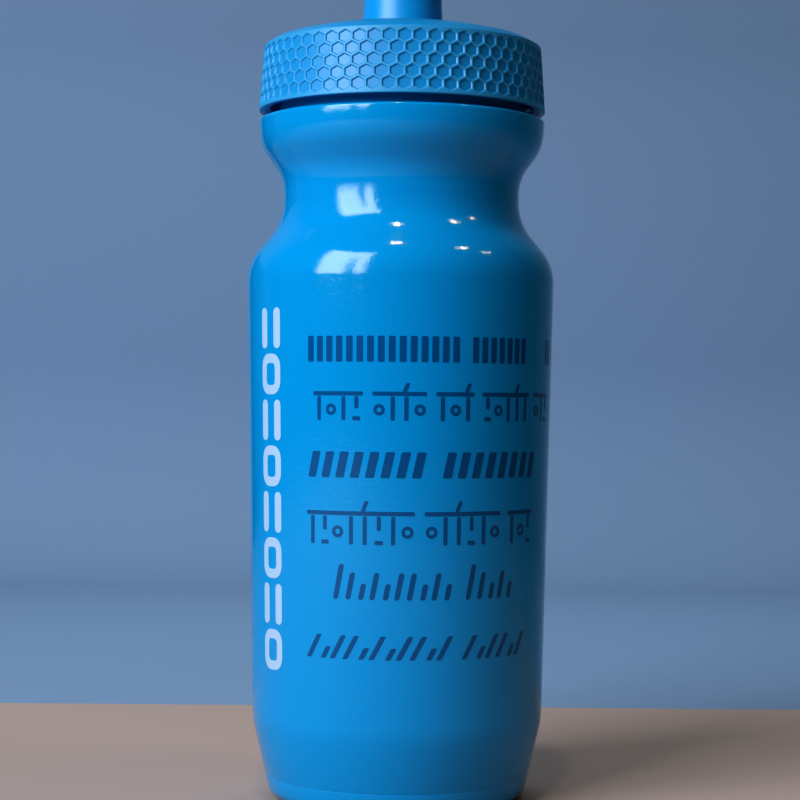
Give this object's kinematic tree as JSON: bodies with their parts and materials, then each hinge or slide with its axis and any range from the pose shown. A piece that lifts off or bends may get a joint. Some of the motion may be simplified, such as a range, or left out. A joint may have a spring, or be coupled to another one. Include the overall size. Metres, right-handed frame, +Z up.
{
  "type": "bicycle water bottle",
  "caption": "Squeeze bottle for a bicycle cage: tapered round body with a gripping groove, a screw lid with a honeycomb skirt and a push-pull nozzle.",
  "frame": {"origin": "on the bottle's axis, on the surface that it stands on", "axes": "+Z up along the bottle's axis, towards the nozzle; +X to the right when the light column mark is left of the middle"},
  "size_m": [0.0744, 0.0744, 0.2158],
  "materials": {
    "body_plastic": "glossy, with a fine grain",
    "lid_plastic": "matt, with a honeycomb grip",
    "nozzle_plastic": "semi-gloss",
    "mouth_rubber": "soft matt",
    "seal_rubber": "smooth",
    "valve_rubber": "smooth, slightly translucent"
  },
  "bodies": {
    "bottle": {"bottle_body": "body_plastic"},
    "gasket": {"lid_gasket": "seal_rubber"},
    "lid": {"lid_shell": "lid_plastic", "slit_valve": "valve_rubber", "valve_retainer": "lid_plastic", "nozzle_o_ring": "seal_rubber"},
    "nozzle": {"nozzle_core": "nozzle_plastic", "mouthpiece": "mouth_rubber"}
  },
  "joints": [
    {"name": "lid_lift", "type": "slide", "parent": "bottle", "child": "gasket", "axis": [0, 0, 1], "range_m": [0, 0.018]},
    {"name": "lid_turn", "type": "hinge", "parent": "gasket", "child": "lid", "pos_m": [0, 0, 0.1655], "axis": [0, 0, 1], "range_deg": [0, 1620]},
    {"name": "nozzle_pull", "type": "slide", "parent": "lid", "child": "nozzle", "axis": [0, 0, 1], "range_m": [0, 0.006]}
  ],
  "couplings": [
    {"joint": "lid_lift", "follows": "lid_turn", "m_per_rad": 0.00063662}
  ]
}
